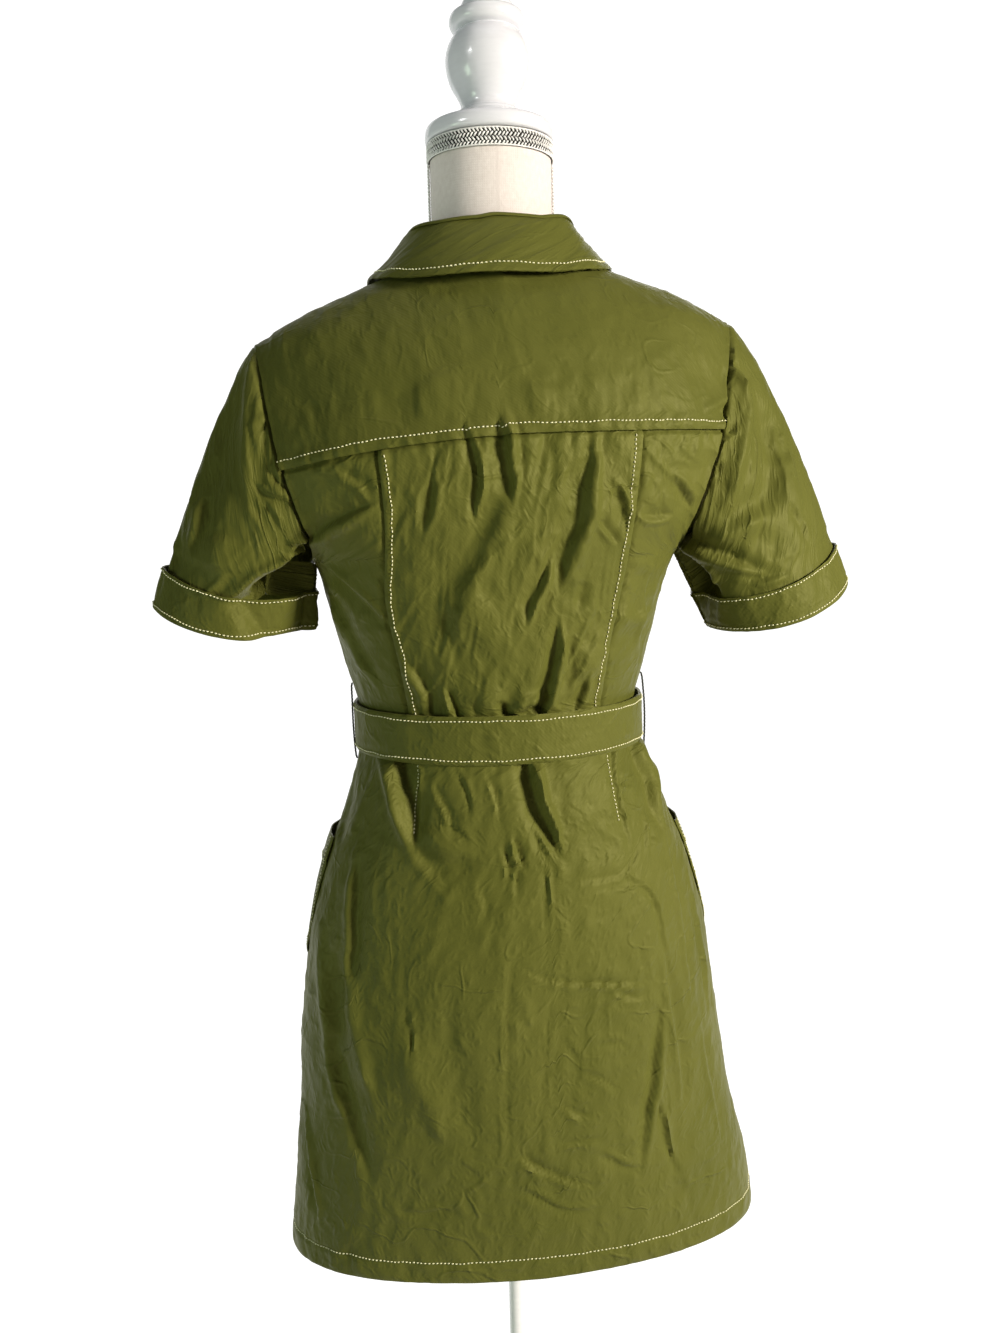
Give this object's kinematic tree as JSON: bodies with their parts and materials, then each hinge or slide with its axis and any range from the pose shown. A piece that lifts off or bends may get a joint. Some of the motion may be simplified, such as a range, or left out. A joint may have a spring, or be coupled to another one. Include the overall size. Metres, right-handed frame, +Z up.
{
  "type": "belted shirt dress on a limbless dress form",
  "caption": "Short-sleeved belted shirt dress with collar, back yoke, princess seams and patch pockets, worn by a limbless dress form with turned finial, pole and round base.",
  "frame": {"origin": "centre of the stand's base, on the floor", "axes": "+Z up, the dress's front faces -Y, the wearer's left is +X"},
  "size_m": [0.5915, 0.33, 1.563],
  "materials": {
    "olive_cotton_sateen": "satin",
    "olive_cotton_sateen_inside": "matte",
    "button_resin": "polished",
    "form_linen": "matte",
    "white_painted_wood": "gloss paint",
    "woven_braid": "matte"
  },
  "bodies": {
    "root": {"back_yoke": "olive_cotton_sateen", "back_center_panel": "olive_cotton_sateen", "back_side_panel_left": "olive_cotton_sateen", "back_side_panel_right": "olive_cotton_sateen", "front_left": "olive_cotton_sateen", "front_right": "olive_cotton_sateen", "skirt_back": "olive_cotton_sateen", "skirt_front_left": "olive_cotton_sateen", "skirt_front_right": "olive_cotton_sateen", "hip_pocket_left": "olive_cotton_sateen", "hip_pocket_right": "olive_cotton_sateen", "sleeve_left": "olive_cotton_sateen", "sleeve_right": "olive_cotton_sateen", "sleeve_cuff_left": "olive_cotton_sateen", "sleeve_cuff_right": "olive_cotton_sateen", "collar_stand": "olive_cotton_sateen_inside", "collar_leaf": "olive_cotton_sateen", "belt": "olive_cotton_sateen", "belt_tail": "olive_cotton_sateen", "belt_buckle": "button_resin", "belt_loop_left": "olive_cotton_sateen_inside", "belt_loop_right": "olive_cotton_sateen_inside", "button_1": "button_resin", "button_2": "button_resin", "button_3": "button_resin", "button_4": "button_resin", "button_5": "button_resin", "button_6": "button_resin", "button_7": "button_resin", "form_torso": "form_linen", "neck_trim": "woven_braid", "neck_braid_left": "woven_braid", "neck_braid_right": "woven_braid", "neck_plate": "white_painted_wood", "finial": "white_painted_wood", "pole": "white_painted_wood", "base_hub": "white_painted_wood", "base": "white_painted_wood"}
  },
  "joints": []
}
